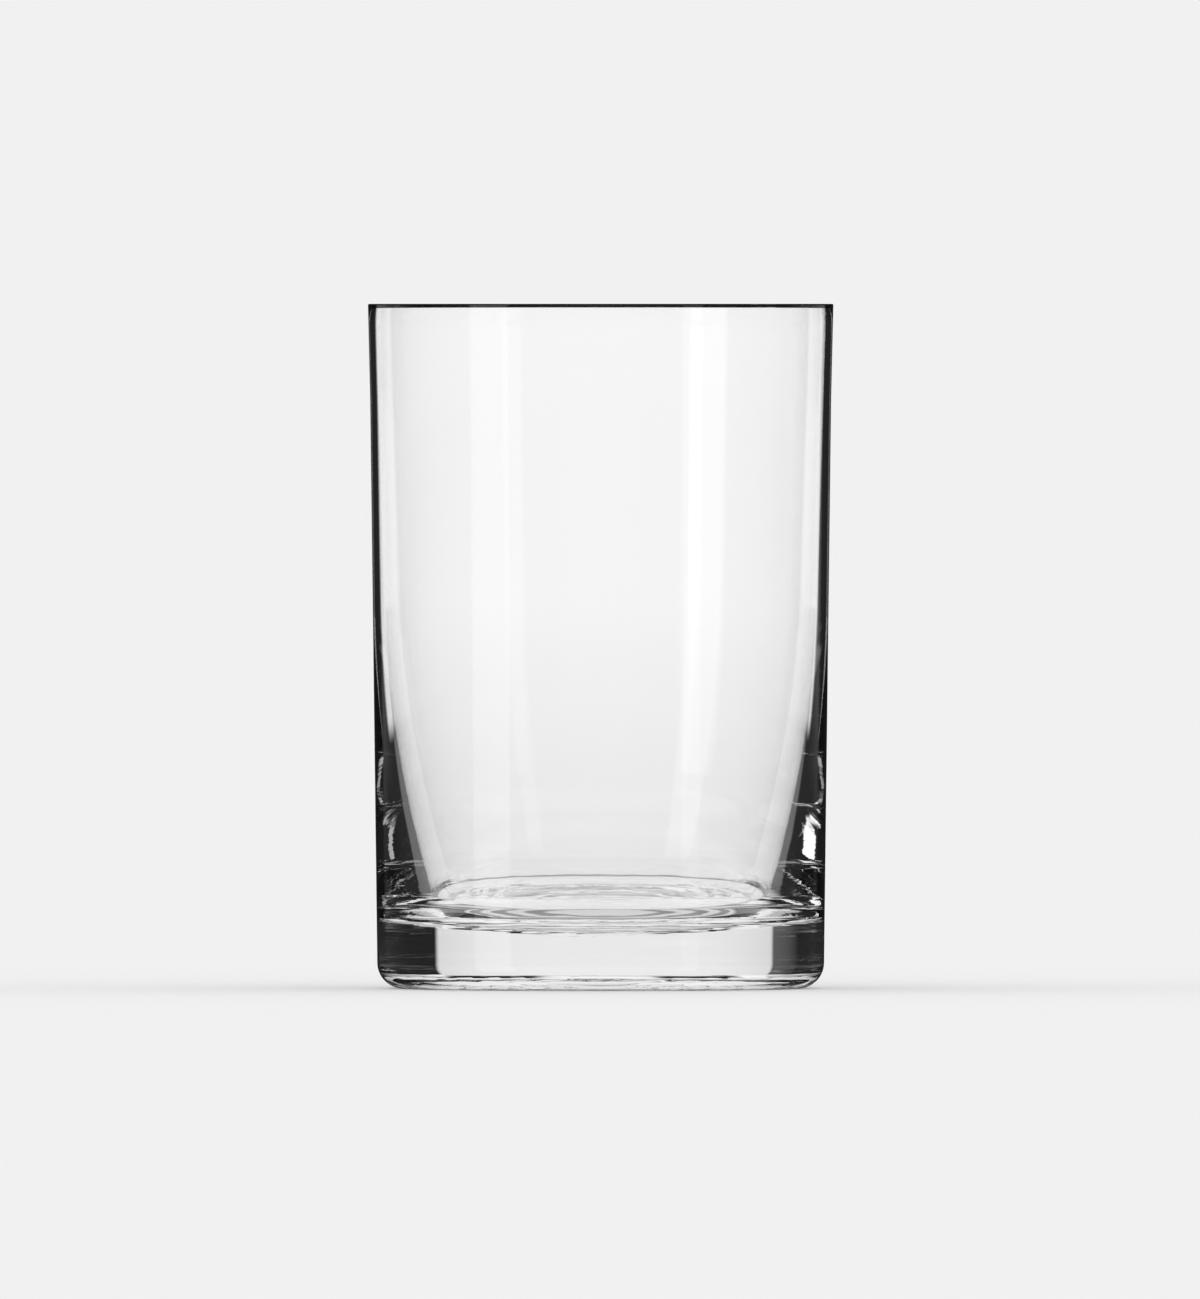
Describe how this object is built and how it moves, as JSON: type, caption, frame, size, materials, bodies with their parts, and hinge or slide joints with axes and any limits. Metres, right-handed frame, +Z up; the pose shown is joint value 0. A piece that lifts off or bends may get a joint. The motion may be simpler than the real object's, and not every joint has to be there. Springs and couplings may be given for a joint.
{
  "type": "water glass",
  "caption": "Plain clear tumbler with a slightly tapered round wall, a cut and flame-polished lip and a heavy foot with a dished bowl, for drinking water.",
  "frame": {"origin": "middle of the bearing ring under the foot, on the table", "axes": "+Z up along the axis of the glass, from the foot to the lip; +Y away from the picture's viewer"},
  "size_m": [0.068, 0.068, 0.1],
  "materials": {
    "clear_glass": "clear, flame-polished"
  },
  "bodies": {
    "root": {"tumbler": "clear_glass"}
  },
  "joints": []
}
